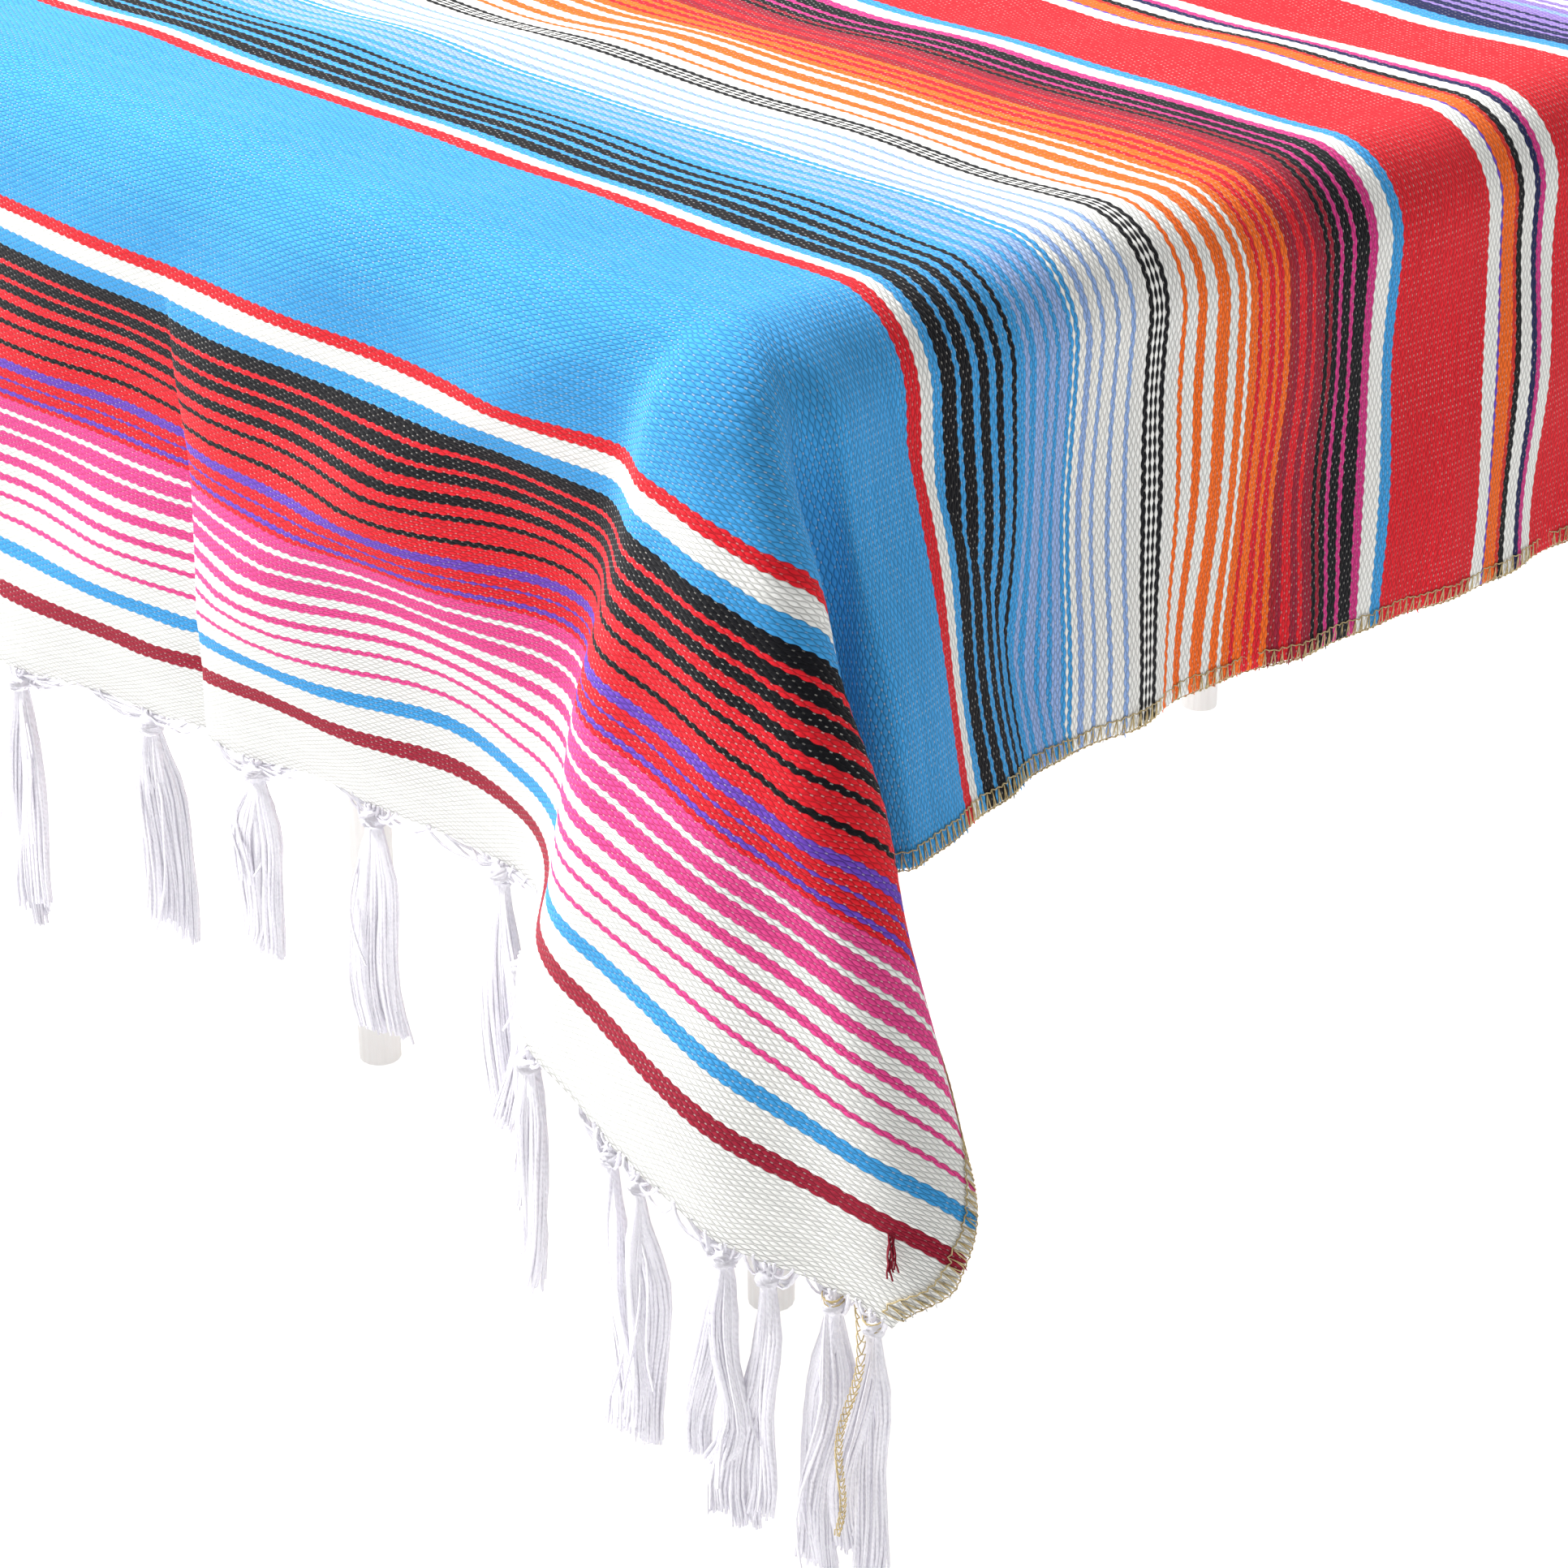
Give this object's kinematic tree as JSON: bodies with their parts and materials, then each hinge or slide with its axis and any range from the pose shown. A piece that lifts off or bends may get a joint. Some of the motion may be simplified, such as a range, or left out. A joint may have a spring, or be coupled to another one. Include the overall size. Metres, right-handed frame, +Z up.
{
  "type": "mexican serape draped over a plain table",
  "caption": "Striped woven Mexican serape with knotted fringe ends, laid over a plain table so that it hangs down on all four sides in soft ears at the corners.",
  "frame": {"origin": "on the floor, under the middle of the whole footprint", "axes": "+Z up, X along the stripes, Y along the warp with the fringed ends at -Y and +Y"},
  "size_m": [1.3884, 1.715, 0.7223],
  "materials": {
    "serape_cloth": "matte weft-faced weave in bright stripes",
    "fringe_cotton": "matte white cotton thread",
    "table_wood": "pale lacquered wood, satin"
  },
  "bodies": {
    "root": {"serape": "serape_cloth", "tassel_front_01": "fringe_cotton", "tassel_front_02": "fringe_cotton", "tassel_front_03": "fringe_cotton", "tassel_front_04": "fringe_cotton", "tassel_front_05": "fringe_cotton", "tassel_front_06": "fringe_cotton", "tassel_front_07": "fringe_cotton", "tassel_front_08": "fringe_cotton", "tassel_front_09": "fringe_cotton", "tassel_front_10": "fringe_cotton", "tassel_front_11": "fringe_cotton", "tassel_front_12": "fringe_cotton", "tassel_front_13": "fringe_cotton", "tassel_front_14": "fringe_cotton", "tassel_front_15": "fringe_cotton", "tassel_front_16": "fringe_cotton", "tassel_front_17": "fringe_cotton", "tassel_front_18": "fringe_cotton", "tassel_front_19": "fringe_cotton", "tassel_front_20": "fringe_cotton", "tassel_front_21": "fringe_cotton", "tassel_front_22": "fringe_cotton", "tassel_front_23": "fringe_cotton", "tassel_front_24": "fringe_cotton", "tassel_front_25": "fringe_cotton", "tassel_back_01": "fringe_cotton", "tassel_back_02": "fringe_cotton", "tassel_back_03": "fringe_cotton", "tassel_back_04": "fringe_cotton", "tassel_back_05": "fringe_cotton", "tassel_back_06": "fringe_cotton", "tassel_back_07": "fringe_cotton", "tassel_back_08": "fringe_cotton", "tassel_back_09": "fringe_cotton", "tassel_back_10": "fringe_cotton", "tassel_back_11": "fringe_cotton", "tassel_back_12": "fringe_cotton", "tassel_back_13": "fringe_cotton", "tassel_back_14": "fringe_cotton", "tassel_back_15": "fringe_cotton", "tassel_back_16": "fringe_cotton", "tassel_back_17": "fringe_cotton", "tassel_back_18": "fringe_cotton", "tassel_back_19": "fringe_cotton", "tassel_back_20": "fringe_cotton", "tassel_back_21": "fringe_cotton", "tassel_back_22": "fringe_cotton", "tassel_back_23": "fringe_cotton", "tassel_back_24": "fringe_cotton", "tassel_back_25": "fringe_cotton", "table_top": "table_wood", "leg_front_left": "table_wood", "leg_front_right": "table_wood", "leg_back_left": "table_wood", "leg_back_right": "table_wood"}
  },
  "joints": []
}
